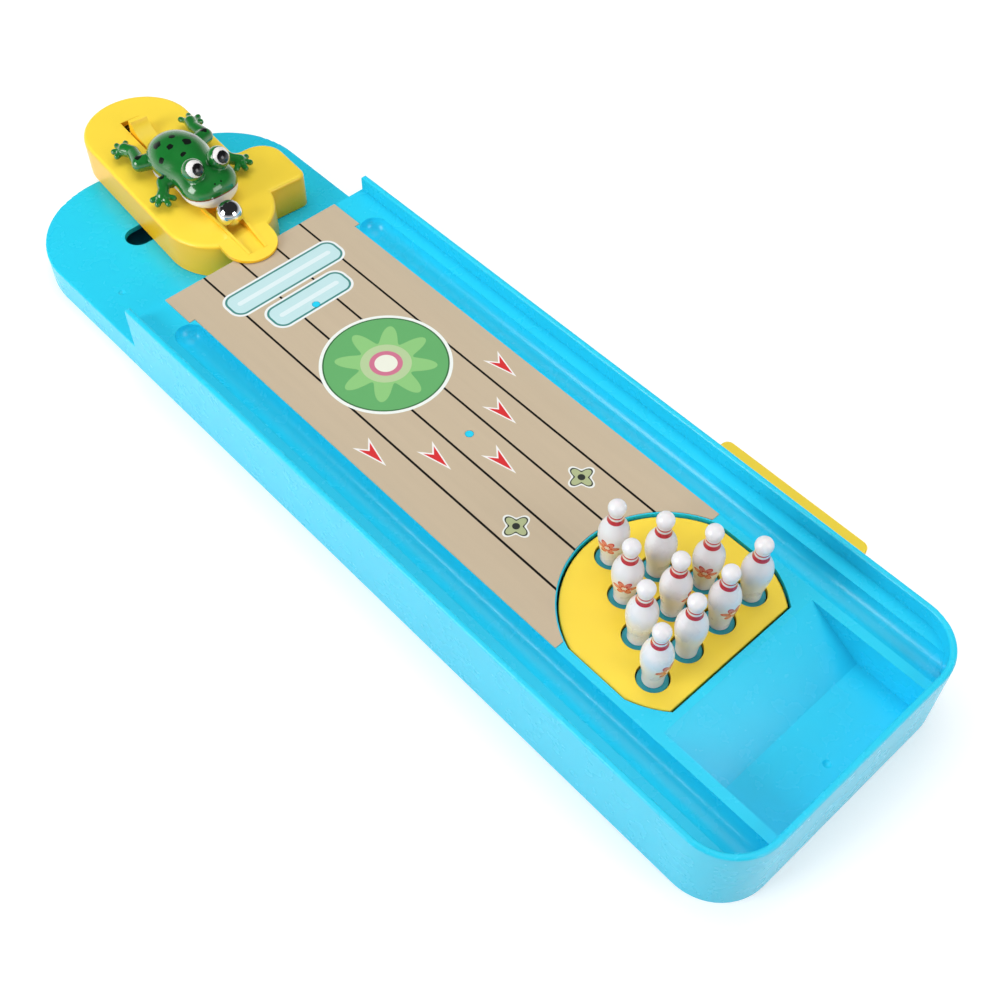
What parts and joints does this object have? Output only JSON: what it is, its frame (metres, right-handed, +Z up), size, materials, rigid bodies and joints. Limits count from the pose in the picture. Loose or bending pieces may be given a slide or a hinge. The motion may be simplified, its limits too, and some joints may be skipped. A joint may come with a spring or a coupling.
{
  "type": "tabletop bowling game",
  "caption": "Tabletop bowling game: long blue tray with lane, gutters and pit, pins on a lifting yellow plate, and a swivelling launcher whose sprung frog strikes a steel ball.",
  "frame": {"origin": "on the table plane, under the middle of the tray", "axes": "+Y along the throw, from the launcher to the pit; +Z up; the lift handle is on the -X side"},
  "size_m": [0.1286, 0.4295, 0.0566],
  "materials": {
    "tray_blue": "moulded, satin sheen",
    "cover_blue": "moulded",
    "seat_blue": "moulded",
    "sheet_tan": "printed sheet",
    "yellow": "moulded, satin sheen",
    "frog_green": "lacquered",
    "frog_white": "lacquered",
    "frog_black": "lacquered",
    "pin_white": "moulded, printed rings",
    "ball_steel": "polished",
    "screw_steel": "zinc plated"
  },
  "bodies": {
    "tray": {"base_tray": "tray_blue", "bottom_cover": "cover_blue", "cover_screws": "screw_steel", "lane_sheet": "sheet_tan", "pin_seat_base": "seat_blue"},
    "pin_lifter": {"pin_plate": "yellow", "lift_frame": "yellow", "lift_handle": "yellow"},
    "slot_slider": {"slot_bush": "seat_blue"},
    "launcher": {"launcher_body": "yellow", "launcher_base": "yellow", "launcher_screws": "screw_steel", "retaining_washer": "screw_steel", "pivot_screw": "screw_steel", "return_spring": "screw_steel"},
    "striker": {"striker_slide": "yellow", "frog_screw": "screw_steel", "frog_back": "frog_green", "frog_belly": "frog_white", "frog_eyes": "frog_white", "frog_pupils": "frog_black", "frog_front_leg_left": "frog_green", "frog_front_leg_right": "frog_green", "frog_rear_leg_left": "frog_green", "frog_rear_leg_right": "frog_green"},
    "ball": {"steel_ball": "ball_steel"},
    "pin_1_body": {"pin_1": "pin_white"},
    "pin_2_body": {"pin_2": "pin_white"},
    "pin_3_body": {"pin_3": "pin_white"},
    "pin_4_body": {"pin_4": "pin_white"},
    "pin_5_body": {"pin_5": "pin_white"},
    "pin_6_body": {"pin_6": "pin_white"},
    "pin_7_body": {"pin_7": "pin_white"},
    "pin_8_body": {"pin_8": "pin_white"},
    "pin_9_body": {"pin_9": "pin_white"},
    "pin_10_body": {"pin_10": "pin_white"}
  },
  "joints": [
    {"name": "launcher_slide", "type": "slide", "parent": "tray", "child": "slot_slider", "axis": [1, 0, 0], "range_m": [-0.0174, 0.0278]},
    {"name": "launcher_swivel", "type": "hinge", "parent": "slot_slider", "child": "launcher", "pos_m": [-0.0052, -0.1612, 0.012], "axis": [0, 0, 1], "range_deg": [-13.5, 22.5]},
    {"name": "striker_pull", "type": "slide", "parent": "launcher", "child": "striker", "axis": [-0.0785, -0.9969, 0], "range_m": [0, 0.0075], "stiffness_N_per_m": 250, "springref_m": -0.0015, "deforming": ["return_spring"]},
    {"name": "pin_lift", "type": "slide", "parent": "tray", "child": "pin_lifter", "axis": [0, 0, 1], "range_m": [0, 0.01]},
    {"name": "ball_lift_off", "type": "slide", "parent": "launcher", "child": "ball", "axis": [0, 0, 1], "range_m": [0, 0.04]},
    {"name": "pin_1_lift_off", "type": "slide", "parent": "tray", "child": "pin_1_body", "axis": [0, 0, 1], "range_m": [0, 0.04]},
    {"name": "pin_2_lift_off", "type": "slide", "parent": "tray", "child": "pin_2_body", "axis": [0, 0, 1], "range_m": [0, 0.04]},
    {"name": "pin_3_lift_off", "type": "slide", "parent": "tray", "child": "pin_3_body", "axis": [0, 0, 1], "range_m": [0, 0.04]},
    {"name": "pin_4_lift_off", "type": "slide", "parent": "tray", "child": "pin_4_body", "axis": [0, 0, 1], "range_m": [0, 0.04]},
    {"name": "pin_5_lift_off", "type": "slide", "parent": "tray", "child": "pin_5_body", "axis": [0, 0, 1], "range_m": [0, 0.04]},
    {"name": "pin_6_lift_off", "type": "slide", "parent": "tray", "child": "pin_6_body", "axis": [0, 0, 1], "range_m": [0, 0.04]},
    {"name": "pin_7_lift_off", "type": "slide", "parent": "tray", "child": "pin_7_body", "axis": [0, 0, 1], "range_m": [0, 0.04]},
    {"name": "pin_8_lift_off", "type": "slide", "parent": "tray", "child": "pin_8_body", "axis": [0, 0, 1], "range_m": [0, 0.04]},
    {"name": "pin_9_lift_off", "type": "slide", "parent": "tray", "child": "pin_9_body", "axis": [0, 0, 1], "range_m": [0, 0.04]},
    {"name": "pin_10_lift_off", "type": "slide", "parent": "tray", "child": "pin_10_body", "axis": [0, 0, 1], "range_m": [0, 0.04]}
  ]
}
